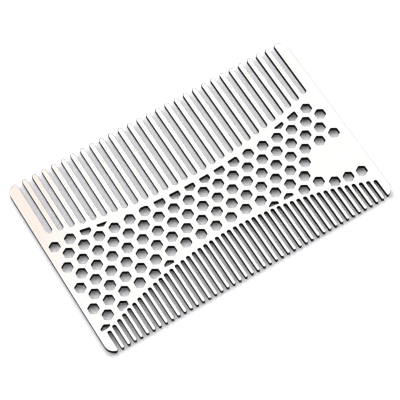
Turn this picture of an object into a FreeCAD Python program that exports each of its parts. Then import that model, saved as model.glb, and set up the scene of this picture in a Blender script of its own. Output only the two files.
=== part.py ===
import FreeCAD, Part

# Card-sized steel beard comb.  The comb is one flat sheet: 27 coarse teeth along one long edge, 44 fine teeth along
# the other, a wide guard at each end of both rows, and between them a waisted spine with hexagonal holes.
#
# Frame, in millimetres: the comb lies flat on Z = 0.  The origin is the middle of its lower face, +X runs along its
# length and +Y points to the tips of the coarse teeth.
#
# Each tooth and guard is a solid of its own that meets the spine face to face just above its two rounded roots, so
# the gaps between the teeth stay open.

import math
import os
from collections import namedtuple

V = FreeCAD.Vector

# The sheet, the size of a bank card
LENGTH = 85.60
WIDTH = 53.98
THICKNESS = 1.30
CORNER_RADIUS = 2.80

# One row of teeth.  Its roots lie on an arc that bulges towards the spine, and its tips lie on the sheet's edge.
#   direction   +1 for the edge at +Y, -1 for the edge at -Y
#   teeth       number of teeth between the two guards
#   pitch       tooth to tooth
#   gap         clear width between two teeth
#   shift       how far the whole row is set off along X
#   root        distance from the X axis to the arc of the roots, at mid-length
#   arc_radius  radius of the arc of the roots
#   land        plain band between the roots and the holes
ToothRow = namedtuple("ToothRow", "direction teeth pitch gap shift root arc_radius land")
COARSE = ToothRow(direction=1, teeth=27, pitch=2.883, gap=1.56, shift=-0.05, root=4.60, arc_radius=145.6, land=1.62)
FINE = ToothRow(direction=-1, teeth=44, pitch=1.818, gap=0.98, shift=0.14, root=13.44, arc_radius=105.2, land=0.67)

# Hexagonal holes: rows of regular hexagons with a corner up, every second row shifted by half a pitch
HOLE_ACROSS_FLATS = 2.71
HOLE_PITCH = 4.5135
HOLE_ROW_PITCH = 3.3146
TOP_ROW_Y = 5.84
FIRST_HOLE_X = -40.07

# The runs of holes in each row, from the top row down, as first and last hole
HOLE_RUNS = [
    [(0, 3), (15, 17)],
    [(0, 17)],
    [(0, 17)],
    [(0, 17)],
    [(0, 15)],
    [(0, 14)],
    [(0, 5), (12, 15)],
    [(0, 1)],
    [(0, 0)],
]

# Holes, as row and place in the row, that are cut off flat this far above their middle
HALF_HOLES = [(6, 5), (6, 13), (8, 0)]
HALF_HOLE_CUT = 0.20

# Three holes that follow the edge of the spine at the right-hand end instead of the rows
END_HOLES = [(31.2, -16.2), (35.0, -16.9), (38.9, -17.3)]


def root_distance(row, x):
    """Distance from the X axis to the arc of a row's roots, at x."""
    return row.root + row.arc_radius - math.sqrt(row.arc_radius ** 2 - x ** 2)


def gap_middles(row):
    """X of the middle of each gap of a row: one more gap than teeth."""
    return [(i - row.teeth / 2) * row.pitch + row.shift for i in range(row.teeth + 1)]


def end_gap(row, end):
    """X of the middle of the last gap at one end (-1 or +1)."""
    return gap_middles(row)[0 if end < 0 else -1]


def joint_distance(row, x):
    """Distance from the X axis to where the gap at x stops being parallel, which is where the teeth are joined on."""
    return root_distance(row, x) + row.gap / 2


def upright(points_and_arcs):
    """Closed face from a list of steps.  A step is a point, or a pair (middle, end) of an arc."""
    edges = []
    here = points_and_arcs[0]
    for step in points_and_arcs[1:]:
        if isinstance(step, tuple):
            middle, end = step
            edges.append(Part.Arc(here, middle, end).toShape())
        else:
            end = step
            edges.append(Part.LineSegment(here, end).toShape())
        here = end
    return Part.Face(Part.Wire(edges))


def sheet(face):
    """The sheet's full thickness of a flat face."""
    return face.extrude(V(0, 0, THICKNESS))


def tooth(row, number):
    """One tooth: a straight bar with a fully rounded tip."""
    left_gap, right_gap = gap_middles(row)[number:number + 2]
    left = left_gap + row.gap / 2
    right = right_gap - row.gap / 2
    tip_radius = (right - left) / 2
    side = row.direction
    shoulder = side * (WIDTH / 2 - tip_radius)
    return sheet(upright([
        V(left, side * joint_distance(row, left_gap)),
        V(left, shoulder),
        (V((left + right) / 2, side * WIDTH / 2), V(right, shoulder)),
        V(right, side * joint_distance(row, right_gap)),
        V(left, side * joint_distance(row, left_gap)),
    ]))


def guard(row, end):
    """The guard beside the last gap at one end (-1 or +1): the card's corner outside, a tooth's rounding inside."""
    outer = LENGTH / 2
    inner = abs(end_gap(row, end)) + row.gap / 2
    tip_radius = (row.pitch - row.gap) / 2
    card_centre = V(outer - CORNER_RADIUS, WIDTH / 2 - CORNER_RADIUS)
    between = CORNER_RADIUS - tip_radius
    across = inner + tip_radius - card_centre.x
    tip_centre = V(inner + tip_radius, card_centre.y + math.sqrt(between ** 2 - across ** 2))
    meeting = math.atan2(tip_centre.y - card_centre.y, across)

    def on(centre, radius, angle):
        return centre + V(radius * math.cos(angle), radius * math.sin(angle))

    base = joint_distance(row, end_gap(row, end))
    steps = [
        V(outer, base),
        V(outer, card_centre.y),
        (on(card_centre, CORNER_RADIUS, meeting / 2), on(card_centre, CORNER_RADIUS, meeting)),
        (on(tip_centre, tip_radius, (meeting + math.pi) / 2), V(inner, tip_centre.y)),
        V(inner, base),
        V(outer, base),
    ]
    face = upright(steps)
    if end < 0:
        face = face.mirror(V(0, 0, 0), V(1, 0, 0))
    if row.direction < 0:
        face = face.mirror(V(0, 0, 0), V(0, 1, 0))
    return sheet(face)


def scalloped_edge(row):
    """Steps along the spine's edge under a row of teeth, from -X to +X: a round root for each gap."""
    side = row.direction
    steps = []
    for x in gap_middles(row):
        level = side * joint_distance(row, x)
        steps.append(V(x - row.gap / 2, level))
        steps.append((V(x, side * root_distance(row, x)), V(x + row.gap / 2, level)))
    return steps


def land_disc(row):
    """The disc that no hole enters: the arc of a row's roots with its plain band."""
    centre = V(0, row.direction * (row.root + row.arc_radius))
    return Part.Face(Part.Wire(Part.makeCircle(row.arc_radius + row.land, centre)))


def hexagon(x, y):
    """Regular hexagon with a corner up."""
    corner = HOLE_ACROSS_FLATS / math.sqrt(3)
    turns = [math.radians(90 + 60 * i) for i in range(7)]
    return Part.Face(Part.makePolygon([V(x + corner * math.cos(a), y + corner * math.sin(a)) for a in turns]))


def hole(row_number, place):
    """One hole of the rows, cut off where it would enter a land."""
    shift = HOLE_PITCH / 2 if row_number % 2 else 0
    x = FIRST_HOLE_X + place * HOLE_PITCH + shift
    y = TOP_ROW_Y - row_number * HOLE_ROW_PITCH
    face = hexagon(x, y)
    if (row_number, place) in HALF_HOLES:
        face = face.cut(Part.makePlane(HOLE_PITCH, HOLE_PITCH,
                                       V(x - HOLE_PITCH / 2, y + HALF_HOLE_CUT - HOLE_PITCH)))
    for row in (COARSE, FINE):
        face = face.cut(land_disc(row))
    return face


def holes():
    """All the holes of the spine, as flat faces."""
    faces = [hexagon(x, y) for x, y in END_HOLES]
    for row_number, runs in enumerate(HOLE_RUNS):
        for first, last in runs:
            faces += [hole(row_number, place) for place in range(first, last + 1)]
    return faces


def spine():
    """The waisted web between the two rows of teeth."""
    end = LENGTH / 2
    corners = {
        (side, row): V(side * end, row.direction * joint_distance(row, end_gap(row, side)))
        for side in (-1, 1) for row in (COARSE, FINE)
    }
    steps = [corners[-1, FINE], corners[-1, COARSE]]
    steps += scalloped_edge(COARSE)
    steps += [corners[1, COARSE], corners[1, FINE]]
    fine_edge = scalloped_edge(FINE)
    # The fine edge is walked back from +X to -X, so each arc runs from its end to its start
    for start, (middle, finish) in reversed(list(zip(fine_edge[0::2], fine_edge[1::2]))):
        steps += [finish, (middle, start)]
    steps.append(corners[-1, FINE])
    web = upright(steps).cut(Part.Compound(holes()))
    return sheet(web)


NODES = {
    "spine": [spine()],
    "coarse_teeth": [tooth(COARSE, i) for i in range(COARSE.teeth)],
    "fine_teeth": [tooth(FINE, i) for i in range(FINE.teeth)],
    "coarse_end_guards": [guard(COARSE, end) for end in (-1, 1)],
    "fine_end_guards": [guard(FINE, end) for end in (-1, 1)],
}

os.makedirs("parts", exist_ok=True)
for name, shapes in NODES.items():
    solids = [solid for shape in shapes for solid in shape.Solids]
    node = Part.Compound(solids)
    node.exportStep(f"parts/{name}.step")
    print(name, len(solids), "solids", round(node.Volume, 2), "mm3", node.isValid())
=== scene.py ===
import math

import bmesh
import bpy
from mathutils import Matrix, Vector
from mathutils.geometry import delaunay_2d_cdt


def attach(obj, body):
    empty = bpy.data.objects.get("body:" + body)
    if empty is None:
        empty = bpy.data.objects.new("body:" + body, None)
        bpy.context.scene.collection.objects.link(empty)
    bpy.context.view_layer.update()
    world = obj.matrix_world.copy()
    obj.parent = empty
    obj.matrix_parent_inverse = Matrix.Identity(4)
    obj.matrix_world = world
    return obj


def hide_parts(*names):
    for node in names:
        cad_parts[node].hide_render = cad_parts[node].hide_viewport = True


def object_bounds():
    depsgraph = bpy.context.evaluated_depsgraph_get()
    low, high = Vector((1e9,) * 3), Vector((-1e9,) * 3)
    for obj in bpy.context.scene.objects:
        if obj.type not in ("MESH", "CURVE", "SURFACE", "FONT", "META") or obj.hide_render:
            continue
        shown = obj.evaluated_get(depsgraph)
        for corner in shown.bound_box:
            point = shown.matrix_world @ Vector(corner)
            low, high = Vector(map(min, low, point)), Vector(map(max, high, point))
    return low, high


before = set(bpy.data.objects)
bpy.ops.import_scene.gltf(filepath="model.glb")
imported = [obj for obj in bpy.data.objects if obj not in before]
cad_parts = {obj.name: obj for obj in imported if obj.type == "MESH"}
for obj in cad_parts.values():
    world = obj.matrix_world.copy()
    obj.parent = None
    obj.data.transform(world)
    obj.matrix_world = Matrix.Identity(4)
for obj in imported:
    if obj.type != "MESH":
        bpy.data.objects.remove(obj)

# Card-sized steel beard comb, lying flat on a white table top.
#
# The comb is one piece of sheet steel, so one seamless mesh stands for all the CAD nodes.  Its outline and
# its holes are the CAD solids' own; what is added here is the finish: tumbled edges, eased corners in the
# holes, brushed faces and cut walls.  Lengths are in metres, in the CAD frame.  A pattern's size is that of
# its cells along X, Y and Z.

MM = 0.001
CAD_LOW, CAD_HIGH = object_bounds()
MIDDLE = (CAD_LOW + CAD_HIGH) / 2

# The comb's outlines, as read from the CAD nodes
FACING_UP = 0.5                       # the least height of an upward face's normal
WELD = 0.002 * MM                     # points of neighbouring nodes this close are one point of the comb

# The rounding of the edges along both faces, which grows round the tips of the coarse teeth
EDGE_RADIUS = 0.06 * MM
TIP_EDGE_RADIUS = 0.17 * MM
TIPS_START = 26.0 * MM                # along Y: where the rounding begins to grow
TIPS_END = 26.6 * MM                  # along Y: where it is at its largest
EDGE_STEPS = 4

# The easing of the holes' corners
CORNER_RADIUS = 0.35 * MM
CORNER_STEPS = 5
CORNER_SHARE = 0.45                   # the most that a corner takes of the sides beside it
SHARP_TURN = math.radians(20)         # a smaller turn is part of an arc and stays as it is

# The fill of the two flat faces
INSIDE_WITH_HOLES = 2                 # delaunay_2d_cdt's number for triangles that leave the holes open
FILL_TOLERANCE = 1e-9

# The mesh's material slots
FACE, RIM, WALL = range(3)

# Most values of a noise lie between these
NOISE_LOW = 0.3
NOISE_HIGH = 0.7

# The brushed faces
BRUSH_LINE = (0.07 * MM, 7 * MM, 1 * MM)
BRUSH_BAND = (1.1 * MM, 30 * MM, 1 * MM)
BRUSH_DEPTH = 0.0006 * MM
BAND_SHARE = 0.10
SMUDGE = (6 * MM, 8 * MM, 6 * MM)
SCRATCH = (0.09 * MM, 5 * MM, 1 * MM)
SCRATCH_SHARE = 0.4
SCRATCH_LEVELS = (0.70, 0.77)         # the noise's values where a scratch begins and where it is full
FACE_LIGHT = (0.82, 0.82, 0.81, 1)
FACE_DARK = (0.77, 0.77, 0.755, 1)
# The face colours of the painted peach reflection at one end of the comb
WARM_REFLECTION_LIGHT = (0.82, 0.755, 0.705, 1)
WARM_REFLECTION_DARK = (0.77, 0.705, 0.655, 1)
SCRATCH_COLOUR = (0.66, 0.65, 0.64, 1)
FACE_ROUGHNESS = (0.27, 0.34)
SMUDGE_ROUGHNESS = (-0.02, 0.03)      # added to the face's own

# The painted peach reflection grows towards the coarse teeth's end of the comb at -X
WARM_REFLECTION_WAY = (-1, 0.6, 0)
WARM_REFLECTION_START = 36 * MM
WARM_REFLECTION_END = 52 * MM

# The tumbled rims: their colour is darkened well below the faces' as painted shade, and wear spots vary it
# unevenly
WEAR_SPOT = (0.9 * MM, 0.9 * MM, 0.9 * MM)
RIM_SHADED_LIGHT = (0.46, 0.45, 0.43, 1)
RIM_SHADED_DARK = (0.32, 0.31, 0.29, 1)
RIM_ROUGHNESS = (0.18, 0.28)

# The cut walls: their colour is kept near black as painted shade, and fine striations vary it
WALL_RIB = (0.05 * MM, 0.05 * MM, 1.2 * MM)
RIB_DEPTH = 0.004 * MM
WALL_SHADED_LIGHT = (0.150, 0.146, 0.139, 1)
WALL_SHADED_DARK = (0.080, 0.078, 0.074, 1)
WALL_GRAZING = (0.36, 0.36, 0.36, 1)  # holds back the sheen of a wall that is seen along its surface, as painted shade that keeps it dark
WALL_ROUGHNESS = (0.22, 0.32)

# The table top
FLOOR_SIZE = 3.0
FLOOR_GAP = 0.02 * MM
PAPER_FIBRE = (0.3 * MM, 0.3 * MM, 0.3 * MM)
PAPER_LIGHT = (0.902, 0.890, 0.915, 1)
PAPER_DARK = (0.887, 0.875, 0.900, 1)
PAPER_ROUGHNESS = 0.85
PAPER_SPECULAR = 0.2

# The lights, all aimed at the comb: name, azimuth and elevation in degrees, side, watts, and what is lit
PAPER_ONLY, STEEL_ONLY, ALL = range(3)
LIGHT_DISTANCE = 1.2
LIGHTS = [
    ("key_softbox", 2, 20, 0.5, 10.3, PAPER_ONLY),
    ("back_softbox", 20, 43, 0.5, 3.5, PAPER_ONLY),
    ("right_softbox", 80, 20, 0.4, 3.4, ALL),
    ("high_right_softbox", 80, 42, 0.6, 6.0, PAPER_ONLY),
    ("left_fill", -38, 42, 0.5, 6.8, PAPER_ONLY),
    ("front_fill", 225, 20, 0.4, 5.2, PAPER_ONLY),
    ("overhead_softbox", 20, 74, 0.6, 2.3, PAPER_ONLY),
    ("overhead_fill", 190, 80, 0.5, 2.3, PAPER_ONLY),
    ("sheen_panel", 42, 66, 1.4, 3.4, STEEL_ONLY),
]
ROOM_STRENGTH = 0.75

# The camera and its picture
CAMERA_AZIMUTH = 210.6
CAMERA_ELEVATION = 64.47
CAMERA_DISTANCE = 432.9 * MM
CAMERA_ROLL = -1.0
CAMERA_AIM = Vector((-1.47 * MM, -2.34 * MM, CAD_HIGH.z))
LENS = 150.4
SENSOR_WIDTH = 36
VIEW_GAMMA = 0.74
FILTER_WIDTH = 1.0


# ---------------------------------------------------------------- outlines


def upper_face():
    """The upper faces of all the CAD nodes, welded into one flat bmesh."""
    bm = bmesh.new()
    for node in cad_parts.values():
        bm.from_mesh(node.data)
    others = [f for f in bm.faces if f.normal.z < FACING_UP or f.calc_center_median().z < MIDDLE.z]
    bmesh.ops.delete(bm, geom=others, context="FACES")
    bmesh.ops.remove_doubles(bm, verts=bm.verts, dist=WELD)
    return bm


def outlines():
    """The closed outlines of the upper face, as lists of flat points.  The metal is on the left of each."""
    bm = upper_face()
    following = {}
    for edge in bm.edges:
        if len(edge.link_loops) == 1:
            side = edge.link_loops[0]
            following[side.vert] = side.link_loop_next.vert
    found = []
    while following:
        start, here = next(iter(following.items()))
        del following[start]
        outline = [start.co.xy]
        while here is not start:
            outline.append(here.co.xy)
            here = following.pop(here)
        found.append(outline)
    bm.free()
    return found


def area(outline):
    """Signed area: positive for the outer outline, negative for a hole."""
    return sum(a.cross(b) for a, b in zip(outline, outline[1:] + outline[:1])) / 2


def eased(outline):
    """The outline with its sharp corners replaced by arcs."""
    points = []
    count = len(outline)
    for i, corner in enumerate(outline):
        before = outline[i - 1] - corner
        after = outline[(i + 1) % count] - corner
        turn = math.pi - before.angle(after)
        if turn < SHARP_TURN:
            points.append(corner)
            continue
        reach = min(CORNER_RADIUS * math.tan(turn / 2), CORNER_SHARE * min(before.length, after.length))
        start = corner + before.normalized() * reach
        end = corner + after.normalized() * reach
        for step in range(CORNER_STEPS + 1):
            t = step / CORNER_STEPS
            points.append(start * (1 - t) ** 2 + corner * 2 * t * (1 - t) + end * t ** 2)
    return points


def split_at_tips(outline):
    """The outline with a point wherever it enters or leaves the tips of the coarse teeth."""
    points = []
    for here, after in zip(outline, outline[1:] + outline[:1]):
        points.append(here)
        if (here.y - TIPS_START) * (after.y - TIPS_START) < 0:
            points.append(here.lerp(after, (TIPS_START - here.y) / (after.y - here.y)))
    return points


# ---------------------------------------------------------------- the sheet


def sideways(outline):
    """For each point of an outline: the way into the metal for an inset of 1, and the wall's normal."""
    ways = []
    count = len(outline)
    for i, here in enumerate(outline):
        before = here - outline[i - 1]
        after = outline[(i + 1) % count] - here
        left_before = Vector((-before.y, before.x)).normalized()
        left_after = Vector((-after.y, after.x)).normalized()
        both = left_before + left_after
        inward = both * (2 / both.length_squared)
        weighted = left_before * before.length + left_after * after.length
        ways.append((inward, -weighted.normalized()))
    return ways


def edge_radius(y):
    """The rounding of the edges at y."""
    share = min(max((y - TIPS_START) / (TIPS_END - TIPS_START), 0), 1)
    return EDGE_RADIUS + (TIP_EDGE_RADIUS - EDGE_RADIUS) * share


def edge_profile():
    """The levels of an edge of radius 1, from the top down.

    Each is the height of the nearer face, the inset, the rise over that face, and the normal's angle upwards.
    """
    upper = []
    for i in range(EDGE_STEPS + 1):
        angle = math.pi / 2 * (1 - i / EDGE_STEPS)
        upper.append((CAD_HIGH.z, 1 - math.cos(angle), math.sin(angle) - 1, angle))
    lower = [(CAD_LOW.z, inset, -rise, -angle) for _, inset, rise, angle in reversed(upper)]
    return upper + lower


class Sheet:
    """The comb's points, normals, faces and material slots, while its mesh is being made."""

    def __init__(self):
        self.points = []
        self.normals = []
        self.faces = []
        self.slots = []

    def ring(self, outline, ways, level):
        """Adds the points of one level of an edge, and returns their numbers."""
        face, inset, rise, angle = level
        first = len(self.points)
        lean = math.cos(angle)
        for here, (inward, out) in zip(outline, ways):
            radius = edge_radius(here.y)
            spot = here + inward * inset * radius
            self.points.append((spot.x, spot.y, face + rise * radius))
            self.normals.append((out.x * lean, out.y * lean, math.sin(angle)))
        return range(first, len(self.points))

    def edge(self, outline):
        """Adds the whole edge along an outline, and returns its uppermost and its lowest ring."""
        ways = sideways(outline)
        rings = [self.ring(outline, ways, level) for level in edge_profile()]
        count = len(outline)
        for level, (upper, lower) in enumerate(zip(rings, rings[1:])):
            for i in range(count):
                j = (i + 1) % count
                self.faces.append((upper[i], lower[i], lower[j], upper[j]))
                self.slots.append(WALL if level == EDGE_STEPS else RIM)
        return rings[0], rings[-1]

    def fill(self, rings, upwards):
        """Adds the flat face that the rings bound, facing up or down."""
        numbers = [i for ring in rings for i in ring]
        order = {number: i for i, number in enumerate(numbers)}
        flat = [Vector(self.points[i][:2]) for i in numbers]
        bounds = [[order[i] for i in ring] for ring in rings]
        filled = delaunay_2d_cdt(flat, [], bounds, INSIDE_WITH_HOLES, FILL_TOLERANCE)
        triangles, sources = filled[2:4]
        for triangle in triangles:
            corners = [numbers[sources[i][0]] for i in triangle]
            self.faces.append(corners if upwards else corners[::-1])
            self.slots.append(FACE)

    def mesh(self, name):
        """The finished mesh, shaded smooth."""
        mesh = bpy.data.meshes.new(name)
        mesh.from_pydata(self.points, [], self.faces)
        mesh.polygons.foreach_set("material_index", self.slots)
        mesh.polygons.foreach_set("use_smooth", [True] * len(self.faces))
        mesh.validate()
        mesh.normals_split_custom_set_from_vertices(self.normals)
        mesh.update()
        return mesh


def comb_mesh():
    """One closed mesh of the whole comb."""
    found = outlines()
    outer = max(found, key=area)
    holes = [eased(outline) for outline in found if outline is not outer]
    sheet = Sheet()
    edges = [sheet.edge(outline) for outline in [split_at_tips(outer)] + holes]
    sheet.fill([upper for upper, _ in edges], upwards=True)
    sheet.fill([lower for _, lower in edges], upwards=False)
    return sheet.mesh("comb")


# ---------------------------------------------------------------- materials


class Nodes:
    """Short hand for building a material's nodes in the comb's own frame."""

    def __init__(self, name):
        self.material = bpy.data.materials.new(name)
        self.material.use_nodes = True
        self.tree = self.material.node_tree
        self.shader = self.tree.nodes["Principled BSDF"]
        self.position = self.tree.nodes.new("ShaderNodeTexCoord").outputs["Object"]

    def put(self, socket, value):
        """Links an input to another node's socket, or sets it to a number, vector or colour."""
        if isinstance(value, bpy.types.NodeSocket):
            self.tree.links.new(value, socket)
        else:
            socket.default_value = value

    def add(self, kind, inputs=(), **settings):
        """A node with its settings, and its inputs as pairs of name and value."""
        node = self.tree.nodes.new("ShaderNode" + kind)
        for name, value in settings.items():
            setattr(node, name, value)
        for name, value in inputs:
            self.put(self.enabled(node.inputs, name), value)
        return node

    @staticmethod
    def enabled(sockets, name):
        """The socket of that name: a Mix node has several, and only the one for its data type is enabled."""
        return next(socket for socket in sockets if socket.name == name and socket.enabled)

    def noise(self, cell, detail):
        """Noise from 0 to 1 whose cells have the given size along X, Y and Z."""
        stretched = self.add("Mapping", [("Vector", self.position), ("Scale", [1 / size for size in cell])])
        found = self.add("TexNoise", [("Vector", stretched.outputs[0]), ("Scale", 1), ("Detail", detail)])
        return found.outputs["Fac"]

    def spread(self, source, low, high, start=NOISE_LOW, end=NOISE_HIGH):
        """The source's values from start to end spread smoothly from low to high."""
        change = self.add("MapRange", [
            ("Value", source), ("From Min", start), ("From Max", end), ("To Min", low), ("To Max", high),
        ], interpolation_type="SMOOTHSTEP")
        return change.outputs["Result"]

    def along(self, way, start, end):
        """0 before start and 1 after end, measured in metres along a direction in the comb's frame."""
        reach = self.add("VectorMath", [("Vector", self.position)], operation="DOT_PRODUCT")
        reach.inputs[1].default_value = way
        return self.spread(reach.outputs["Value"], 0, 1, start, end)

    def total(self, first, second):
        """The sum of two values."""
        both = self.add("Math", operation="ADD")
        self.put(both.inputs[0], first)
        self.put(both.inputs[1], second)
        return both.outputs[0]

    def mix(self, share, first, second):
        """Two colours mixed by a value."""
        blend = self.add("Mix", [("Factor", share), ("A", first), ("B", second)], data_type="RGBA")
        return self.enabled(blend.outputs, "Result")

    def bump(self, height, distance):
        """A bump of the given height."""
        return self.add("Bump", [("Height", height), ("Distance", distance)]).outputs["Normal"]

    def finish(self, inputs):
        """The material, with its shader's inputs by name."""
        for name, value in inputs.items():
            self.put(self.shader.inputs[name], value)
        return self.material


def brushed_face():
    """The two flat faces: fine brush lines across the comb, a few scratches, a faint painted peach reflection
    at one end.
    """
    nodes = Nodes("brushed_face")
    lines = nodes.noise(BRUSH_LINE, detail=4)
    bands = nodes.noise(BRUSH_BAND, detail=2)
    smudges = nodes.noise(SMUDGE, detail=2)
    scratches = nodes.noise(SCRATCH, detail=1)
    steel = nodes.mix(nodes.spread(lines, 0, 1), FACE_DARK, FACE_LIGHT)
    # painted peach reflection, mixed into the face colour towards one end
    warm_reflection = nodes.mix(nodes.spread(lines, 0, 1), WARM_REFLECTION_DARK, WARM_REFLECTION_LIGHT)
    reflection_tinted = nodes.mix(nodes.along(WARM_REFLECTION_WAY, WARM_REFLECTION_START, WARM_REFLECTION_END), steel, warm_reflection)
    scratch = nodes.spread(scratches, 0, SCRATCH_SHARE, *SCRATCH_LEVELS)
    scratched = nodes.mix(scratch, reflection_tinted, SCRATCH_COLOUR)
    brushed = nodes.spread(lines, *FACE_ROUGHNESS)
    smudged = nodes.spread(smudges, *SMUDGE_ROUGHNESS)
    return nodes.finish({
        "Base Color": nodes.mix(nodes.spread(bands, 0, BAND_SHARE), scratched, FACE_DARK),
        "Metallic": 1,
        "Roughness": nodes.total(brushed, smudged),
        "Normal": nodes.bump(lines, BRUSH_DEPTH),
    })


def tumbled_rim():
    """The rounded edges: smoother than the faces, darkened with painted shade, and worn a little unevenly."""
    nodes = Nodes("tumbled_rim")
    wear = nodes.noise(WEAR_SPOT, detail=3)
    return nodes.finish({
        "Base Color": nodes.mix(nodes.spread(wear, 0, 1), RIM_SHADED_DARK, RIM_SHADED_LIGHT),
        "Metallic": 1,
        "Roughness": nodes.spread(wear, *RIM_ROUGHNESS),
    })


def cut_wall():
    """The walls through the sheet's thickness: painted dark as shade, with fine striations from face to face.
    """
    nodes = Nodes("cut_wall")
    ribs = nodes.noise(WALL_RIB, detail=3)
    return nodes.finish({
        "Base Color": nodes.mix(nodes.spread(ribs, 0, 1), WALL_SHADED_DARK, WALL_SHADED_LIGHT),
        "Metallic": 1,
        "Specular Tint": WALL_GRAZING,
        "Roughness": nodes.spread(ribs, *WALL_ROUGHNESS),
        "Normal": nodes.bump(ribs, RIB_DEPTH),
    })


def white_paper():
    """The table top: matt white paper with a faint lavender shade and fine fibres."""
    nodes = Nodes("white_paper")
    fibres = nodes.noise(PAPER_FIBRE, detail=4)
    return nodes.finish({
        "Base Color": nodes.mix(nodes.spread(fibres, 0, 1), PAPER_DARK, PAPER_LIGHT),
        "Roughness": PAPER_ROUGHNESS,
        "Specular IOR Level": PAPER_SPECULAR,
    })


# ---------------------------------------------------------------- the comb, the table top, light and camera


def add_object(name, data):
    """A new object in the scene."""
    thing = bpy.data.objects.new(name, data)
    bpy.context.scene.collection.objects.link(thing)
    return thing


def aim(thing, spot, target, roll=0.0):
    """Puts a camera or light at a spot, looking at target."""
    view = (target - spot).to_track_quat("-Z", "Y").to_matrix().to_4x4()
    thing.matrix_world = Matrix.Translation(spot) @ view @ Matrix.Rotation(roll, 4, "Z")


def direction(azimuth, elevation):
    """The way towards a point seen from the comb: azimuth 0 is +Y and 90 is +X, in degrees."""
    a, e = math.radians(azimuth), math.radians(elevation)
    return Vector((math.sin(a) * math.cos(e), math.cos(a) * math.cos(e), math.sin(e)))


def add_comb():
    """The whole comb, in place of all the CAD nodes."""
    mesh = comb_mesh()
    for material in (brushed_face(), tumbled_rim(), cut_wall()):
        mesh.materials.append(material)
    comb = add_object("comb_sheet", mesh)
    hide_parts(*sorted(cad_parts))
    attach(comb, "root")


def add_table_top():
    """A square of white paper that the comb lies on."""
    half = FLOOR_SIZE / 2
    corners = [(-half, -half, 0), (half, -half, 0), (half, half, 0), (-half, half, 0)]
    mesh = bpy.data.meshes.new("table_top")
    mesh.from_pydata(corners, [], [(0, 1, 2, 3)])
    mesh.materials.append(white_paper())
    floor = add_object("table_top", mesh)
    floor.location.z = CAD_LOW.z - FLOOR_GAP


def add_light(name, azimuth, elevation, side, watts, lit):
    """A square studio light aimed at the comb.  One that doesn't light the steel shows in no reflection."""
    light = bpy.data.lights.new(name, "AREA")
    light.size = side
    light.energy = watts
    lamp = add_object(name, light)
    lamp.visible_glossy = lit != PAPER_ONLY
    lamp.visible_diffuse = lit != STEEL_ONLY
    aim(lamp, MIDDLE + direction(azimuth, elevation) * LIGHT_DISTANCE, MIDDLE)


def add_room():
    """A white room that is reflected in the steel and doesn't light the paper."""
    world = bpy.data.worlds.new("studio")
    bpy.context.scene.world = world
    world.use_nodes = True
    background = world.node_tree.nodes["Background"]
    background.inputs["Color"].default_value = (1, 1, 1, 1)
    background.inputs["Strength"].default_value = ROOM_STRENGTH
    world.cycles_visibility.diffuse = False


def add_camera():
    """The camera, and how its picture is exposed and filtered."""
    camera = add_object("camera", bpy.data.cameras.new("camera"))
    camera.data.lens = LENS
    camera.data.sensor_width = SENSOR_WIDTH
    spot = CAMERA_AIM + direction(CAMERA_AZIMUTH, CAMERA_ELEVATION) * CAMERA_DISTANCE
    aim(camera, spot, CAMERA_AIM, math.radians(CAMERA_ROLL))
    scene = bpy.context.scene
    scene.camera = camera
    scene.view_settings.view_transform = "Standard"
    scene.view_settings.gamma = VIEW_GAMMA
    scene.cycles.filter_width = FILTER_WIDTH


add_comb()
add_table_top()
for light in LIGHTS:
    add_light(*light)
add_room()
add_camera()
